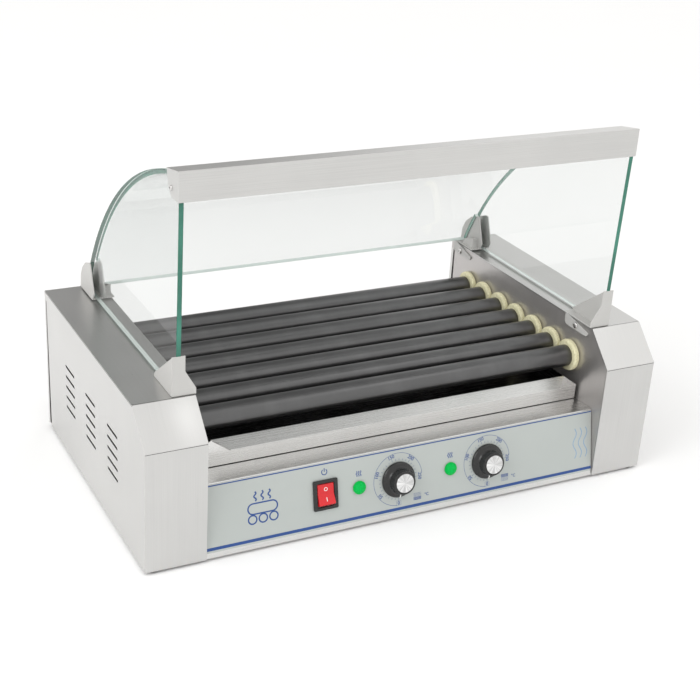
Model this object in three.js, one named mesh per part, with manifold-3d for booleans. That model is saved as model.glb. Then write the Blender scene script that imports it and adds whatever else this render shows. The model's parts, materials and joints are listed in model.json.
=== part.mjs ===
// Hot dog roller grill with a glass guard, built as an assembly of separate solids.
// Millimetres, +Z up, +X to the machine's right-hand end, the operator stands at -Y.
import * as THREE from 'three';
import { mergeVertices } from 'three/addons/utils/BufferGeometryUtils.js';
import Module from 'manifold-3d';

const wasm = await Module();
wasm.setup();

// ---- driving dimensions ----------------------------------------------------------------
const GAP = 0.3; // clearance between pieces that touch
const SHEET = 1; // stainless sheet thickness
const ROUND = 16; // sides on the many small turned pieces

// end housings
const WIDTH = 580; // overall width
const DEPTH = 328; // housing depth
const HOUSING_TOP = 165;
const HOUSING_WIDTH = 62.5; // width of each end housing
const BEVEL = 34; // sloping front corner of the housing, 45 degrees
const FOOT_HEIGHT = 3;
const FOOT_RADIUS = 8;
const FOOT_INSET = 10; // foot centre in from the housing corner

// open seam between the housing's walls and the rear panel's flanges, wider at the bottom
const SEAM_TOP = 155; // above it the walls reach the rear panel
const SEAM_HIGH = 3; // width at the top
const SEAM_LOW = 6.5; // width at the bottom
const OUTER_FLANGE = 4; // rear panel's flanges, folded forward
const INNER_FLANGE = 5;

// louvre slots in the outer walls
const SLOT_LENGTH = 32;
const SLOT_HEIGHT = 3;
const SLOT_PITCH = 12;
const SLOT_ROWS = 5;
const SLOT_GROUP_PITCH = 71;
const SLOT_GROUPS = 3;
const SLOT_MIDDLE = { y: 2, z: 84 };

// rollers
const ROLLER_COUNT = 7;
const ROLLER_PITCH = 35.6;
const ROLLER_RADIUS = 12;
const ROLLER_WALL = 1.8;
const ROLLER_HEIGHT = 122; // axis height
const FRONT_ROLLER_Y = -99;
const JOURNAL_RADIUS = 7;
const JOURNAL_BORE = 5;
const BUSH_RADIUS = 17.5;
const BUSH_WIDTH = 6.2; // how far a bush stands proud of the inner wall
const SPIGOT_RADIUS = 10; // part of the bush that passes through the wall

// chain drive in the right housing
const SPROCKET_TEETH = 12;
const SPROCKET_ROOT = 11;
const SPROCKET_TIP = 13.6;
const SPROCKET_WIDTH = 4;
const SPROCKET_X = 238; // middle of the chain line
const CHAIN_CLEARANCE = 0.5;
const CHAIN_HEIGHT = 4;
const CHAIN_WIDTH = 5;
const GEARBOX_RADIUS = 28;
const MOTOR_RADIUS = 20;

// control panel, leaning back from its bottom edge
const PANEL_LEAN = THREE.MathUtils.degToRad(12);
const PANEL_LENGTH = 76; // measured up the slope
const PANEL_RECESS = 1; // set back from the housing fronts
const CONTROL_HEIGHT = 41.5; // of every control, up the slope
const SWITCH_X = -98;
const LIGHT_X = [-60, 47];
const KNOB_X = [-15, 92];
const SWITCH_SIZE = { width: 27, height: 31.5 };
const ROCKER_HALF_WIDTH = 9;
const ROCKER_RADIUS = 11.8;
const ROCKER_TILT = THREE.MathUtils.degToRad(-12); // at rest its lower half stands out
const LENS_RADIUS = 7;
const KNOB_SKIRT_RADIUS = 19;
const KNOB_LENGTH = 15;

// drip tray
const TRAY_LIFT = 0.7; // above the deck
const TRAY_SIDE_GAP = 3; // to each inner wall
const TRAY_WALL_TOP = 94.4;
const TRAY_FRONT = -119;
const TRAY_BACK = 148;
const TRAY_FRONT_TOP = 107.4; // the front plate stands taller than the side walls
const TRAY_TOP_HALF_WIDTH = 207; // its upper corners are cut off
const GRIP_LENGTH = 16.6; // folded forward and down from the front plate
const GRIP_HALF_WIDTH = 192.5; // at its mitred front edge
const GRIP_DROOP = THREE.MathUtils.degToRad(21);

// cord gland in the rear panel
const GLAND_X = 200;
const GLAND_Z = 30;
const GLAND_NECK = 6;
const GLAND_FLANGE = 8.5;
const GLAND_BORE = 4;

// glass guard
const GLASS = 5;
const PANE_X = 243.75; // middle of a side pane
const PANE_BOTTOM = 167;
const GUARD_CENTRE = { y: -183.5, z: 17 };
const GUARD_RADIUS = 369.5;
const PANE_FRONT_LOW = -125.8;
const PANE_FRONT_HIGH = -132.8;
const RAIL_FRONT = -134.2;
const RAIL_LOW = 356.5;
const RAIL_HIGH = 385.5;
const REAR_GLASS_LOW = 171;

// brackets that hold the glass
const CLIP_OUTER_X = 250.5;
const CLIP_INNER_X = 226;
const CHEEK_X = 237; // inner cheek's inner face
const CLIP_SHEET = 1.2;
const REAR_CLIP_LIFT = 1.5; // under the rear brackets' base plates
const UPSTAND_X = 229;

// ---- derived dimensions ----------------------------------------------------------------
const HALF_WIDTH = WIDTH / 2;
const FRONT = -DEPTH / 2;
const BACK = DEPTH / 2;
const WALL_X = HALF_WIDTH - HOUSING_WIDTH; // visible face of the inner wall
const BEVEL_LOW = HOUSING_TOP - BEVEL;
const BEVEL_BACK = FRONT + BEVEL;
const DECK_TOP = FOOT_HEIGHT + PANEL_LENGTH * Math.cos(PANEL_LEAN);
const REAR_PANEL_Y = BACK - SHEET;
const CHAIN_INNER = SPROCKET_TIP + CHAIN_CLEARANCE;
const CHAIN_OUTER = CHAIN_INNER + CHAIN_HEIGHT;
const rollerY = (i) => FRONT_ROLLER_Y + i * ROLLER_PITCH;
const MOTOR_Y = rollerY(3.5);
const MOTOR_Z = ROLLER_HEIGHT - CHAIN_OUTER - CHAIN_CLEARANCE - SPROCKET_TIP;

// ---- materials -------------------------------------------------------------------------
const finish = (color, roughness, metalness, extra = {}) => () =>
  new THREE.MeshStandardMaterial({ color, roughness, metalness, ...extra });
const brushedSteel = finish('#c9c8c5', 0.35, 1);
const pressedSteel = finish('#b9b8b5', 0.4, 1);
const clipMetal = finish('#c2c0bb', 0.5, 0.8);
const nonStick = finish('#1c1c1d', 0.4, 0.1);
const creamPlastic = finish('#cdc594', 0.6, 0);
const driveSteel = finish('#77787a', 0.45, 0.9);
const motorPaint = finish('#3a3c40', 0.6, 0.4);
const blackPlastic = finish('#151515', 0.45, 0);
const redPlastic = finish('#b3191c', 0.3, 0);
const greenLens = finish('#16c250', 0.25, 0);
const rubber = finish('#1a1a1a', 0.85, 0);
const clearGlass = finish('#cfe8dd', 0.05, 0, { transparent: true, opacity: 0.3 });

// ---- geometry helpers ------------------------------------------------------------------

// Merges shared corners, drops empty triangles and makes the faces point outwards.
function clean(source) {
  const bare = source.index ? source.toNonIndexed() : source.clone();
  for (const name of Object.keys(bare.attributes)) {
    if (name !== 'position') bare.deleteAttribute(name);
  }
  const merged = mergeVertices(bare, 1e-4);
  const p = merged.attributes.position;
  const kept = [];
  let volume = 0;
  const [a, b, c] = [new THREE.Vector3(), new THREE.Vector3(), new THREE.Vector3()];
  for (let i = 0; i < merged.index.count; i += 3) {
    const [u, v, w] = [0, 1, 2].map((k) => merged.index.getX(i + k));
    if (u === v || v === w || w === u) continue;
    kept.push(u, v, w);
    a.fromBufferAttribute(p, u);
    b.fromBufferAttribute(p, v);
    c.fromBufferAttribute(p, w);
    volume += a.dot(b.cross(c));
  }
  if (volume < 0) kept.reverse();
  merged.setIndex(kept);
  merged.computeVertexNormals();
  return merged;
}

function toSolid(geometry) {
  const closed = clean(geometry);
  return new wasm.Manifold(
    new wasm.Mesh({
      numProp: 3,
      vertProperties: new Float32Array(closed.attributes.position.array),
      triVerts: new Uint32Array(closed.index.array),
    }),
  );
}

// Joins the first list of geometries, then cuts the second list out of the result.
function joinAndCut(joined, cuts = []) {
  let body = joined.map(toSolid).reduce((whole, next) => whole.add(next));
  for (const cut of cuts) body = body.subtract(toSolid(cut));
  const mesh = body.getMesh();
  const geometry = new THREE.BufferGeometry();
  geometry.setAttribute('position', new THREE.BufferAttribute(mesh.vertProperties, 3));
  geometry.setIndex(new THREE.BufferAttribute(mesh.triVerts, 1));
  return clean(geometry);
}

const toShape = (points) => new THREE.Shape(points.map(([u, v]) => new THREE.Vector2(u, v)));
const axis = {
  x: new THREE.Vector3(1, 0, 0),
  y: new THREE.Vector3(0, 1, 0),
  z: new THREE.Vector3(0, 0, 1),
  back: new THREE.Vector3(0, -1, 0),
};

function extrude(shape, depth, curveSegments = 6) {
  return new THREE.ExtrudeGeometry(shape, { depth, bevelEnabled: false, curveSegments });
}

// An outline of [y, z] points, solid between two x values.
function slabX(outline, x0, x1) {
  const basis = new THREE.Matrix4().makeBasis(axis.y, axis.z, axis.x);
  const shape = Array.isArray(outline) ? toShape(outline) : outline;
  return extrude(shape, x1 - x0).applyMatrix4(basis).translate(x0, 0, 0);
}

// An outline of [x, z] points, solid between two y values.
function slabY(outline, y0, y1) {
  const basis = new THREE.Matrix4().makeBasis(axis.x, axis.z, axis.back);
  const shape = Array.isArray(outline) ? toShape(outline) : outline;
  return extrude(shape, y1 - y0).applyMatrix4(basis).translate(0, y1, 0);
}

function block(x0, x1, y0, y1, z0, z1) {
  return new THREE.BoxGeometry(x1 - x0, y1 - y0, z1 - z0).translate(
    (x0 + x1) / 2,
    (y0 + y1) / 2,
    (z0 + z1) / 2,
  );
}

// A turned piece about X. The profile is a list of [radius, x] points.
function turnedX(profile, segments) {
  const points = profile.map(([r, x]) => new THREE.Vector2(r, x));
  return new THREE.LatheGeometry(points, segments).rotateZ(-Math.PI / 2);
}

const rod = (radius, x0, x1, segments) =>
  turnedX([[0, x0], [radius, x0], [radius, x1], [0, x1]], segments);

// A turned piece whose axis points out of the panel. The profile is [radius, outward] points.
function turnedOut(profile, segments) {
  const points = profile.map(([r, out]) => new THREE.Vector2(r, out));
  return new THREE.LatheGeometry(points, segments).rotateX(Math.PI);
}

// The same outline for the other end of the machine.
const mirrored = (geometry) => clean(geometry.clone().scale(-1, 1, 1));

const machine = new THREE.Group();

function addPiece(name, geometry, material, parent = machine) {
  const mesh = new THREE.Mesh(clean(geometry), material());
  mesh.name = name;
  parent.add(mesh);
  return mesh;
}

// A left and a right copy of a piece that is drawn for the right-hand end.
function addPair(suffix, geometry, material) {
  addPiece(`right_${suffix}`, geometry, material);
  addPiece(`left_${suffix}`, mirrored(geometry), material);
}

// ---- housings --------------------------------------------------------------------------

// Side outline of a housing, inset by a distance on the front, bevel and top.
function housingOutline(inset, low, back) {
  const bevelInset = inset * Math.tan(Math.PI / 8);
  return [
    [FRONT + inset, low],
    [FRONT + inset, BEVEL_LOW - bevelInset],
    [BEVEL_BACK + bevelInset, HOUSING_TOP - inset],
    [back, HOUSING_TOP - inset],
    [back, low],
  ];
}

function louvreSlots(x0, x1) {
  const slots = [];
  const half = SLOT_LENGTH / 2 - SLOT_HEIGHT / 2;
  for (let group = 0; group < SLOT_GROUPS; group += 1) {
    for (let row = 0; row < SLOT_ROWS; row += 1) {
      const y = SLOT_MIDDLE.y + (group - (SLOT_GROUPS - 1) / 2) * SLOT_GROUP_PITCH;
      const z = SLOT_MIDDLE.z + (row - (SLOT_ROWS - 1) / 2) * SLOT_PITCH;
      const slot = new THREE.Shape();
      slot.absarc(y + half, z, SLOT_HEIGHT / 2, -Math.PI / 2, Math.PI / 2, false);
      slot.absarc(y - half, z, SLOT_HEIGHT / 2, Math.PI / 2, Math.PI * 1.5, false);
      slots.push(extrude(slot, x1 - x0, 3));
    }
  }
  const basis = new THREE.Matrix4().makeBasis(axis.y, axis.z, axis.x);
  return slots.map((slot) => slot.applyMatrix4(basis).translate(x0, 0, 0));
}

// The wedge of air that is cut from a wall to leave a flange and its seam.
function seamCut(flange, x0, x1) {
  const below = FOOT_HEIGHT - SHEET;
  const outline = [
    [BACK - flange - SEAM_LOW, below],
    [BACK + SHEET, below],
    [BACK + SHEET, SEAM_TOP],
    [BACK - flange - SEAM_HIGH, SEAM_TOP],
  ];
  return slabX(outline, x0, x1);
}

function housingCover() {
  const coverBack = REAR_PANEL_Y - GAP;
  const outer = slabX(housingOutline(0, FOOT_HEIGHT, coverBack), WALL_X, HALF_WIDTH);
  const hollow = slabX(
    housingOutline(SHEET, FOOT_HEIGHT - SHEET, BACK + SHEET),
    WALL_X - SHEET,
    HALF_WIDTH - SHEET,
  );
  const [inside, outside] = [HALF_WIDTH - 3 * SHEET, HALF_WIDTH + SHEET];
  const seam = seamCut(OUTER_FLANGE, inside, outside);
  return joinAndCut([outer], [hollow, seam, ...louvreSlots(inside, outside)]);
}

function innerWall() {
  const low = FOOT_HEIGHT + SHEET + 2 * GAP;
  const plate = slabX(
    housingOutline(SHEET + GAP, low, REAR_PANEL_Y - GAP),
    WALL_X,
    WALL_X + SHEET,
  );
  const holes = [seamCut(INNER_FLANGE, WALL_X - SHEET, WALL_X + 2 * SHEET)];
  for (let i = 0; i < ROLLER_COUNT; i += 1) {
    const hole = rod(SPIGOT_RADIUS + GAP, WALL_X - SHEET, WALL_X + 2 * SHEET, ROUND);
    holes.push(hole.translate(0, rollerY(i), ROLLER_HEIGHT));
  }
  return joinAndCut([plate], holes);
}

addPair('housing_cover', housingCover(), brushedSteel);
addPair('inner_wall', innerWall(), pressedSteel);

// ---- base, rear panel, deck ------------------------------------------------------------

function basePan() {
  const edge = HALF_WIDTH - SHEET - GAP;
  const front = FRONT + SHEET + GAP + 1.4;
  const back = REAR_PANEL_Y - GAP;
  return block(-edge, edge, front, back, FOOT_HEIGHT, FOOT_HEIGHT + SHEET);
}

const REAR_WINDOW_LOW = 100; // the rear panel is low between the housings
function rearPanel() {
  const outline = [
    [-HALF_WIDTH, FOOT_HEIGHT],
    [HALF_WIDTH, FOOT_HEIGHT],
    [HALF_WIDTH, HOUSING_TOP],
    [WALL_X, HOUSING_TOP],
    [WALL_X, REAR_WINDOW_LOW],
    [-WALL_X, REAR_WINDOW_LOW],
    [-WALL_X, HOUSING_TOP],
    [-HALF_WIDTH, HOUSING_TOP],
  ];
  const bore = GLAND_NECK + GAP;
  const hole = turnedOut([[0, -SHEET], [bore, -SHEET], [bore, 2 * SHEET], [0, 2 * SHEET]], ROUND);
  hole.translate(GLAND_X, BACK, GLAND_Z);
  const low = FOOT_HEIGHT + SHEET + GAP;
  const high = SEAM_TOP - GAP;
  const flanges = [
    block(HALF_WIDTH - SHEET, HALF_WIDTH, BACK - OUTER_FLANGE, BACK, low, high),
    block(WALL_X, WALL_X + SHEET, BACK - INNER_FLANGE, BACK, low, high),
  ];
  const plate = slabY(outline, REAR_PANEL_Y, BACK);
  return joinAndCut([plate, ...flanges, ...flanges.map(mirrored)], [hole]);
}

// Snap-in cord gland: a flange outside, a neck and a collar inside, bored through.
function cordGland() {
  const profile = [
    [GLAND_BORE, REAR_PANEL_Y - 6],
    [GLAND_NECK + 1, REAR_PANEL_Y - 6],
    [GLAND_FLANGE, REAR_PANEL_Y - GAP],
    [GLAND_NECK, REAR_PANEL_Y - GAP],
    [GLAND_NECK, BACK + GAP],
    [GLAND_FLANGE, BACK + GAP],
    [GLAND_FLANGE, BACK + 2],
    [GLAND_BORE + 1, BACK + 3],
    [GLAND_BORE, BACK + 3],
    [GLAND_BORE, REAR_PANEL_Y - 6],
  ];
  const points = profile.map(([r, y]) => new THREE.Vector2(r, y));
  return new THREE.LatheGeometry(points, ROUND).translate(GLAND_X, 0, GLAND_Z);
}

// One folded sheet: the sloping control panel, the ledge and the shelf under the tray.
function controlDeck() {
  const edge = WALL_X - GAP;
  const lean = Math.tan(PANEL_LEAN);
  const skin = SHEET / Math.cos(PANEL_LEAN);
  const faceAt = (z) => FRONT + PANEL_RECESS + (z - FOOT_HEIGHT) * lean;
  const shelfBack = REAR_PANEL_Y - GAP;
  const outline = [
    [faceAt(FOOT_HEIGHT), FOOT_HEIGHT],
    [faceAt(FOOT_HEIGHT) + skin, FOOT_HEIGHT],
    [faceAt(DECK_TOP - SHEET) + skin, DECK_TOP - SHEET],
    [shelfBack, DECK_TOP - SHEET],
    [shelfBack, DECK_TOP],
    [faceAt(DECK_TOP), DECK_TOP],
  ];
  return joinAndCut([slabX(outline, -edge, edge)], panelCutouts());
}

addPiece('base_pan', basePan(), pressedSteel);
addPiece('rear_panel', rearPanel(), brushedSteel);
addPiece('cord_gland', cordGland(), blackPlastic);

// ---- controls: drawn in the panel's own frame, z up the slope, -y out of the panel --------

const panelFrame = new THREE.Group();
panelFrame.position.set(0, FRONT, FOOT_HEIGHT);
panelFrame.rotation.x = -PANEL_LEAN;
machine.add(panelFrame);

const PANEL_FACE = PANEL_RECESS * Math.cos(PANEL_LEAN); // panel skin's front in that frame
const FACE_OUT = PANEL_FACE - 0.6; // front of the printed film on the panel
const SHAFT_RADIUS = 3;

function placed(geometry, x, y = 0, z = CONTROL_HEIGHT) {
  return geometry.translate(x, y, z);
}

function panelCutouts() {
  const hole = (radius, x) => {
    const tool = turnedOut([[0, -8], [radius, -8], [radius, 8], [0, 8]], 16);
    return placed(tool, x, PANEL_FACE);
  };
  const cuts = [
    ...LIGHT_X.map((x) => hole(LENS_RADIUS - 2 + GAP, x)),
    ...KNOB_X.map((x) => hole(SHAFT_RADIUS + 2, x)),
    placed(
      new THREE.BoxGeometry(SWITCH_SIZE.width - 4 + 2 * GAP, 20, SWITCH_SIZE.height - 4 + 2 * GAP),
      SWITCH_X,
      PANEL_FACE,
    ),
  ];
  const place = new THREE.Matrix4()
    .makeRotationX(-PANEL_LEAN)
    .setPosition(0, FRONT, FOOT_HEIGHT);
  return cuts.map((cut) => cut.applyMatrix4(place));
}

addPiece('control_deck', controlDeck(), brushedSteel);

// The switch body fills the cut-out, with a well for the rocker.
function switchBezel() {
  const { width, height } = SWITCH_SIZE;
  const rim = FACE_OUT - GAP;
  const flange = new THREE.BoxGeometry(width, 2, height).translate(0, rim - 1, 0);
  const body = new THREE.BoxGeometry(width - 4, 20, height - 4).translate(0, rim + 10 - 0.5, 0);
  const wellHalfWidth = ROCKER_HALF_WIDTH + 0.5;
  const wellHalfHeight = ROCKER_RADIUS + 0.5;
  const well = new THREE.BoxGeometry(2 * wellHalfWidth, 16, 2 * wellHalfHeight);
  return placed(joinAndCut([flange, body], [well.translate(0, rim + 6, 0)]), SWITCH_X);
}

// The rocker turns about its middle: rounded ends, a front of two shallow slopes.
const ROCKER_PIVOT_DEPTH = 3;
function switchRocker() {
  const shape = new THREE.Shape();
  const reach = Math.asin(5.6 / ROCKER_RADIUS);
  shape.absarc(0, 0, ROCKER_RADIUS, Math.PI / 2 - 0.3, Math.PI / 2 + reach, false);
  shape.lineTo(-3.4, 0);
  shape.absarc(0, 0, ROCKER_RADIUS, -Math.PI / 2 - reach, -Math.PI / 2 + 0.3, false);
  const rocker = slabX(shape, -ROCKER_HALF_WIDTH, ROCKER_HALF_WIDTH).rotateX(ROCKER_TILT);
  return placed(rocker, SWITCH_X, FACE_OUT - GAP + ROCKER_PIVOT_DEPTH - 1);
}

function heatLight(x) {
  const shoulder = -FACE_OUT + GAP;
  const stem = LENS_RADIUS - 2;
  const lens = [
    [0, shoulder - 14],
    [stem, shoulder - 14],
    [stem, shoulder],
    [LENS_RADIUS, shoulder],
    [LENS_RADIUS, shoulder + 1.6],
    [LENS_RADIUS * 0.85, shoulder + 2.6],
    [LENS_RADIUS * 0.5, shoulder + 3.3],
    [0, shoulder + 3.6],
  ];
  return placed(turnedOut(lens, 20), x);
}

// A knob with a wide skirt, bored for the thermostat's shaft.
function knob(x) {
  const base = -FACE_OUT + GAP;
  const bore = SHAFT_RADIUS + GAP;
  const profile = [
    [0, base + 10],
    [bore, base + 10],
    [bore, base],
    [KNOB_SKIRT_RADIUS, base],
    [KNOB_SKIRT_RADIUS, base + 2],
    [KNOB_SKIRT_RADIUS - 1.2, base + 3.6],
    [14.4, base + 5],
    [12.6, base + KNOB_LENGTH - 1.2],
    [11.6, base + KNOB_LENGTH],
    [0, base + KNOB_LENGTH],
  ];
  return placed(turnedOut(profile, 24), x);
}

function thermostat(x) {
  const back = -PANEL_FACE - SHEET - GAP; // behind the panel skin, outward is positive
  const tip = -FACE_OUT + 9;
  const profile = [
    [0, back - 26],
    [17, back - 26],
    [17, back],
    [SHAFT_RADIUS, back],
    [SHAFT_RADIUS, tip],
    [0, tip],
  ];
  return placed(turnedOut(profile, 18), x);
}

addPiece('switch_bezel', switchBezel(), blackPlastic, panelFrame);
addPiece('switch_rocker', switchRocker(), redPlastic, panelFrame);
['front', 'back'].forEach((zone, i) => {
  addPiece(`${zone}_heat_light`, heatLight(LIGHT_X[i]), greenLens, panelFrame);
  addPiece(`${zone}_knob`, knob(KNOB_X[i]), blackPlastic, panelFrame);
  addPiece(`${zone}_thermostat`, thermostat(KNOB_X[i]), driveSteel, panelFrame);
});

// ---- drip tray -------------------------------------------------------------------------

// The pan, its tall front plate with the upper corners cut off, and the grip folded from it.
function dripTray() {
  const edge = WALL_X - TRAY_SIDE_GAP;
  const inside = edge - SHEET;
  const low = DECK_TOP + TRAY_LIFT;
  const pan = block(-edge, edge, TRAY_FRONT, TRAY_BACK, low, TRAY_WALL_TOP);
  const hollow = block(
    -inside,
    inside,
    TRAY_FRONT + SHEET,
    TRAY_BACK - SHEET,
    low + SHEET,
    TRAY_FRONT_TOP,
  );
  const plateTop = TRAY_FRONT_TOP - SHEET / 2;
  const plate = [
    [-edge, low],
    [edge, low],
    [edge, TRAY_WALL_TOP],
    [TRAY_TOP_HALF_WIDTH, plateTop],
    [-TRAY_TOP_HALF_WIDTH, plateTop],
    [-edge, TRAY_WALL_TOP],
  ];
  const grip = [
    [-TRAY_TOP_HALF_WIDTH, 0],
    [-GRIP_HALF_WIDTH, -GRIP_LENGTH],
    [GRIP_HALF_WIDTH, -GRIP_LENGTH],
    [TRAY_TOP_HALF_WIDTH, 0],
  ];
  const flap = extrude(toShape(grip), SHEET)
    .translate(0, 0, -SHEET)
    .rotateX(GRIP_DROOP)
    .translate(0, TRAY_FRONT + SHEET, TRAY_FRONT_TOP);
  const frontPlate = slabY(plate, TRAY_FRONT, TRAY_FRONT + SHEET);
  const tray = joinAndCut([pan], [hollow]);
  return joinAndCut([tray, frontPlate, flap]);
}

addPiece('drip_tray', dripTray(), brushedSteel);

// ---- rollers, bushes and the chain drive -------------------------------------------------

const ROLLER_END = WALL_X - GAP - BUSH_WIDTH - GAP;
const JOURNAL_RIGHT = SPROCKET_X + SPROCKET_WIDTH / 2 + 2;
const JOURNAL_LEFT = -(WALL_X + 12);

function roller() {
  const bore = ROLLER_RADIUS - ROLLER_WALL;
  const cap = ROLLER_END - 2;
  const soft = 0.6;
  const profile = [
    [ROLLER_RADIUS, -ROLLER_END + soft],
    [ROLLER_RADIUS, ROLLER_END - soft],
    [ROLLER_RADIUS - soft, ROLLER_END],
    [JOURNAL_RADIUS, ROLLER_END],
    [JOURNAL_RADIUS, JOURNAL_RIGHT],
    [JOURNAL_BORE, JOURNAL_RIGHT],
    [JOURNAL_BORE, cap],
    [bore, cap],
    [bore, -cap],
    [JOURNAL_BORE, -cap],
    [JOURNAL_BORE, JOURNAL_LEFT],
    [JOURNAL_RADIUS, JOURNAL_LEFT],
    [JOURNAL_RADIUS, -ROLLER_END],
    [ROLLER_RADIUS - soft, -ROLLER_END],
    [ROLLER_RADIUS, -ROLLER_END + soft],
  ];
  return turnedX(profile, ROUND);
}

function bush() {
  const face = WALL_X - GAP - BUSH_WIDTH;
  const back = WALL_X - GAP;
  const bore = JOURNAL_RADIUS + GAP;
  const soft = 1.2;
  const profile = [
    [bore, face],
    [BUSH_RADIUS - soft, face],
    [BUSH_RADIUS, face + soft],
    [BUSH_RADIUS, back],
    [SPIGOT_RADIUS, back],
    [SPIGOT_RADIUS, WALL_X + 4],
    [bore, WALL_X + 4],
    [bore, face],
  ];
  return turnedX(profile, ROUND);
}

function sprocket(bore) {
  const step = (2 * Math.PI) / SPROCKET_TEETH;
  const at = (radius, angle) => [radius * Math.cos(angle), radius * Math.sin(angle)];
  const outline = [];
  for (let tooth = 0; tooth < SPROCKET_TEETH; tooth += 1) {
    const angle = tooth * step;
    outline.push(at(SPROCKET_ROOT, angle - 0.3 * step), at(SPROCKET_TIP, angle - 0.12 * step));
    outline.push(at(SPROCKET_TIP, angle + 0.12 * step), at(SPROCKET_ROOT, angle + 0.3 * step));
  }
  const shape = toShape(outline);
  shape.holes.push(new THREE.Path().absarc(0, 0, bore, 0, 2 * Math.PI, true));
  const half = SPROCKET_WIDTH / 2;
  const basis = new THREE.Matrix4().makeBasis(axis.y, axis.z, axis.x);
  return extrude(shape, SPROCKET_WIDTH, 8).applyMatrix4(basis).translate(SPROCKET_X - half, 0, 0);
}

// A closed band round the first and last sprockets, as a pair of straight runs and two ends.
function driveChain() {
  const [y0, y1] = [rollerY(0), rollerY(ROLLER_COUNT - 1)];
  const band = (path, radius) => {
    path.absarc(y1, ROLLER_HEIGHT, radius, -Math.PI / 2, Math.PI / 2, false);
    path.absarc(y0, ROLLER_HEIGHT, radius, Math.PI / 2, Math.PI * 1.5, false);
    return path;
  };
  const shape = band(new THREE.Shape(), CHAIN_OUTER);
  shape.holes.push(band(new THREE.Path(), CHAIN_INNER));
  const basis = new THREE.Matrix4().makeBasis(axis.y, axis.z, axis.x);
  return extrude(shape, CHAIN_WIDTH, 8)
    .applyMatrix4(basis)
    .translate(SPROCKET_X - CHAIN_WIDTH / 2, 0, 0);
}

// Gearbox and motor on three posts that reach the inner wall, with the output shaft.
function gearMotor() {
  const boxStart = SPROCKET_X + CHAIN_WIDTH / 2 + 4;
  const boxEnd = boxStart + 22;
  const motorEnd = HALF_WIDTH - SHEET - 2;
  const pieces = [
    rod(GEARBOX_RADIUS, boxStart, boxEnd, 24),
    rod(MOTOR_RADIUS, boxEnd - 1, motorEnd, 20),
    rod(4, SPROCKET_X - 4, boxStart + 1, 12),
  ];
  for (const angle of [-150, -90, -30].map(THREE.MathUtils.degToRad)) {
    const post = rod(3, WALL_X + SHEET + GAP, boxStart + 1, 8);
    const reach = GEARBOX_RADIUS - 4;
    pieces.push(post.translate(0, reach * Math.cos(angle), reach * Math.sin(angle)));
  }
  return joinAndCut(pieces).translate(0, MOTOR_Y, MOTOR_Z);
}

for (let i = 0; i < ROLLER_COUNT; i += 1) {
  const number = i + 1;
  const place = (geometry) => geometry.translate(0, rollerY(i), ROLLER_HEIGHT);
  addPiece(`roller_${number}`, place(roller()), nonStick);
  addPiece(`right_bush_${number}`, place(bush()), creamPlastic);
  addPiece(`left_bush_${number}`, mirrored(place(bush())), creamPlastic);
  addPiece(`sprocket_${number}`, place(sprocket(JOURNAL_RADIUS + GAP)), driveSteel);
}
addPiece('drive_chain', driveChain(), driveSteel);
addPiece('gear_motor', gearMotor(), motorPaint);
const motorSprocket = sprocket(4 + GAP)
  .translate(-SPROCKET_X, 0, 0)
  .rotateX(Math.PI / SPROCKET_TEETH)
  .translate(SPROCKET_X, MOTOR_Y, MOTOR_Z);
addPiece('motor_sprocket', motorSprocket, driveSteel);

// ---- glass guard -------------------------------------------------------------------------

// Angle, seen from the guard's centre, at which its curve is at a height.
const guardAngle = (radius, z) => Math.asin((z - GUARD_CENTRE.z) / radius);
const guardFrontAngle = (radius, y) => Math.acos((y - GUARD_CENTRE.y) / radius);

function sidePane() {
  const shape = new THREE.Shape();
  shape.moveTo(PANE_FRONT_LOW, PANE_BOTTOM);
  shape.absarc(
    GUARD_CENTRE.y,
    GUARD_CENTRE.z,
    GUARD_RADIUS,
    guardAngle(GUARD_RADIUS, PANE_BOTTOM),
    guardFrontAngle(GUARD_RADIUS, PANE_FRONT_HIGH),
    false,
  );
  const basis = new THREE.Matrix4().makeBasis(axis.y, axis.z, axis.x);
  return extrude(shape, GLASS, 24).applyMatrix4(basis).translate(PANE_X - GLASS / 2, 0, 0);
}

// The curved pane lies between the side panes, notched round the rear brackets.
function rearGlass() {
  const inner = GUARD_RADIUS - GLASS;
  const shape = new THREE.Shape();
  const start = guardAngle(GUARD_RADIUS, REAR_GLASS_LOW);
  const end = guardFrontAngle(GUARD_RADIUS, PANE_FRONT_HIGH + 6);
  shape.absarc(GUARD_CENTRE.y, GUARD_CENTRE.z, GUARD_RADIUS, start, end, false);
  shape.absarc(GUARD_CENTRE.y, GUARD_CENTRE.z, inner, end, start, true);
  const half = PANE_X - GLASS / 2 - GAP;
  const basis = new THREE.Matrix4().makeBasis(axis.y, axis.z, axis.x);
  const sheet = extrude(shape, 2 * half, 24).applyMatrix4(basis).translate(-half, 0, 0);
  const notch = CHEEK_X - 0.6;
  return joinAndCut(
    [sheet],
    [block(notch, notch + 20, 90, 200, 150, 207), block(-notch - 20, -notch, 90, 200, 150, 207)],
  );
}

// A channel along the top front edge of the glass, closed by a cheek at each end.
function topRail() {
  const half = PANE_X + GLASS / 2 + GAP + SHEET;
  const drop = 5.2; // the top falls towards the back
  const depth = 30;
  const outline = [
    [RAIL_FRONT, RAIL_LOW],
    [RAIL_FRONT + 17, RAIL_LOW],
    [RAIL_FRONT + 25.5, RAIL_LOW + 8],
    [RAIL_FRONT + depth, RAIL_HIGH - drop],
    [RAIL_FRONT, RAIL_HIGH],
  ];
  const hollow = [
    [RAIL_FRONT + SHEET, RAIL_LOW - 10],
    [RAIL_FRONT + depth + 10, RAIL_LOW - 10],
    [RAIL_FRONT + depth + 10, RAIL_HIGH - SHEET - (drop * (depth + 10)) / depth],
    [RAIL_FRONT + SHEET, RAIL_HIGH - SHEET - drop / depth],
  ];
  return joinAndCut([slabX(outline, -half, half)], [slabX(hollow, SHEET - half, half - SHEET)]);
}

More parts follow.
